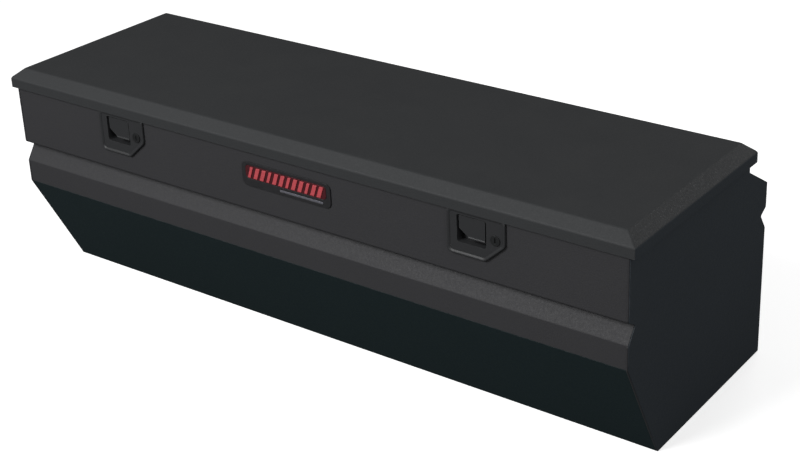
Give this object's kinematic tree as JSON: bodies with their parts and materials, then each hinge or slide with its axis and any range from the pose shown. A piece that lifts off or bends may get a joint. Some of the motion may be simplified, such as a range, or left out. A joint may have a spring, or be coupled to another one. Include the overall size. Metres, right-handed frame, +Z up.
{
  "type": "truck tool box",
  "caption": "Long black chest for a pickup bed: wedge front, bevelled hinged lid on gas struts, recessed paddle latches, sloped rear deck.",
  "frame": {"origin": "middle of the box's footprint, on the surface it stands on", "axes": "+X along the length, to the right seen from the latches; -Y to the latch side; +Z up"},
  "size_m": [1.422, 0.508, 0.457],
  "materials": {
    "powder_coat": "coarse textured black powder coat",
    "inner_coat": "satin black powder coat",
    "latch_coat": "satin black electrocoat",
    "strut_black": "gloss black paint",
    "zinc": "bright zinc plate",
    "steel": "polished steel",
    "rubber": "matt black rubber",
    "badge_black": "gloss black",
    "badge_red": "gloss red",
    "badge_silver": "satin silver"
  },
  "bodies": {
    "box": {"front_panel": "powder_coat", "wedge_panel": "powder_coat", "floor_panel": "powder_coat", "rear_panel": "powder_coat", "rear_deck": "powder_coat", "left_end_panel": "powder_coat", "right_end_panel": "powder_coat", "left_rim_angle": "inner_coat", "right_rim_angle": "inner_coat", "lid_seal": "rubber", "hinge_body_leaf": "powder_coat", "hinge_pin": "steel", "badge_plate": "badge_black", "badge_inlay": "badge_red", "badge_rule": "badge_silver", "left_latch_housing": "latch_coat", "left_latch_gasket": "rubber", "left_latch_paddle_pin": "steel", "left_latch_paddle_spring": "steel", "left_latch_backplate": "zinc", "left_latch_bolt_guide": "zinc", "left_strut_body_bracket": "zinc", "right_latch_housing": "latch_coat", "right_latch_gasket": "rubber", "right_latch_paddle_pin": "steel", "right_latch_paddle_spring": "steel", "right_latch_backplate": "zinc", "right_latch_bolt_guide": "zinc", "right_strut_body_bracket": "zinc"},
    "lid": {"lid_skin": "powder_coat", "lid_liner": "inner_coat", "lid_stiffener_front": "zinc", "lid_stiffener_rear": "zinc", "hinge_lid_leaf": "powder_coat", "left_latch_striker": "zinc", "left_strut_lid_bracket": "zinc", "right_latch_striker": "zinc", "right_strut_lid_bracket": "zinc"},
    "left_paddle": {"left_latch_paddle": "latch_coat"},
    "left_bolt": {"left_latch_bolt": "steel"},
    "left_lock": {"left_latch_lock_cylinder": "steel", "left_latch_lock_cam": "zinc"},
    "left_strut_tube": {"left_strut_tube": "strut_black"},
    "left_strut_rod": {"left_strut_rod": "steel"},
    "right_paddle": {"right_latch_paddle": "latch_coat"},
    "right_bolt": {"right_latch_bolt": "steel"},
    "right_lock": {"right_latch_lock_cylinder": "steel", "right_latch_lock_cam": "zinc"},
    "right_strut_tube": {"right_strut_tube": "strut_black"},
    "right_strut_rod": {"right_strut_rod": "steel"}
  },
  "joints": [
    {"name": "lid_hinge", "type": "hinge", "parent": "box", "child": "lid", "pos_m": [0, 0.1875, 0.39576], "axis": [-1, 0, 0], "range_deg": [0, 80]},
    {"name": "left_paddle_pull", "type": "hinge", "parent": "box", "child": "left_paddle", "pos_m": [-0.41, -0.242, 0.405], "axis": [-1, 0, 0], "range_deg": [0, 25], "stiffness_Nm_per_rad": 0.4, "springref_deg": -17.19},
    {"name": "left_bolt_slide", "type": "slide", "parent": "box", "child": "left_bolt", "axis": [0, -1, 0], "range_m": [0, 0.00841]},
    {"name": "left_lock_turn", "type": "hinge", "parent": "box", "child": "left_lock", "pos_m": [-0.37, -0.23, 0.381], "axis": [0, 1, 0], "range_deg": [0, 90]},
    {"name": "left_strut_swing", "type": "hinge", "parent": "box", "child": "left_strut_tube", "pos_m": [-0.664, 0.062, 0.172], "axis": [-1, 0, 0], "range_deg": [0, 26.4]},
    {"name": "left_strut_extend", "type": "slide", "parent": "left_strut_tube", "child": "left_strut_rod", "axis": [0, -0.1592, 0.9872], "range_m": [0, 0.158]},
    {"name": "right_paddle_pull", "type": "hinge", "parent": "box", "child": "right_paddle", "pos_m": [0.41, -0.242, 0.405], "axis": [-1, 0, 0], "range_deg": [0, 25], "stiffness_Nm_per_rad": 0.4, "springref_deg": -17.19},
    {"name": "right_bolt_slide", "type": "slide", "parent": "box", "child": "right_bolt", "axis": [0, -1, 0], "range_m": [0, 0.00841]},
    {"name": "right_lock_turn", "type": "hinge", "parent": "box", "child": "right_lock", "pos_m": [0.45, -0.23, 0.381], "axis": [0, 1, 0], "range_deg": [0, 90]},
    {"name": "right_strut_swing", "type": "hinge", "parent": "box", "child": "right_strut_tube", "pos_m": [0.664, 0.062, 0.172], "axis": [-1, 0, 0], "range_deg": [0, 26.4]},
    {"name": "right_strut_extend", "type": "slide", "parent": "right_strut_tube", "child": "right_strut_rod", "axis": [0, -0.1592, 0.9872], "range_m": [0, 0.158]}
  ],
  "couplings": [
    {"joint": "left_bolt_slide", "follows": "left_paddle_pull", "m_per_rad": 0.019251},
    {"joint": "left_strut_swing", "follows": "lid_hinge", "ratio": 0.32889},
    {"joint": "left_strut_extend", "follows": "lid_hinge", "m_per_rad": 0.11311},
    {"joint": "right_bolt_slide", "follows": "right_paddle_pull", "m_per_rad": 0.019251},
    {"joint": "right_strut_swing", "follows": "lid_hinge", "ratio": 0.32889},
    {"joint": "right_strut_extend", "follows": "lid_hinge", "m_per_rad": 0.11311}
  ]
}
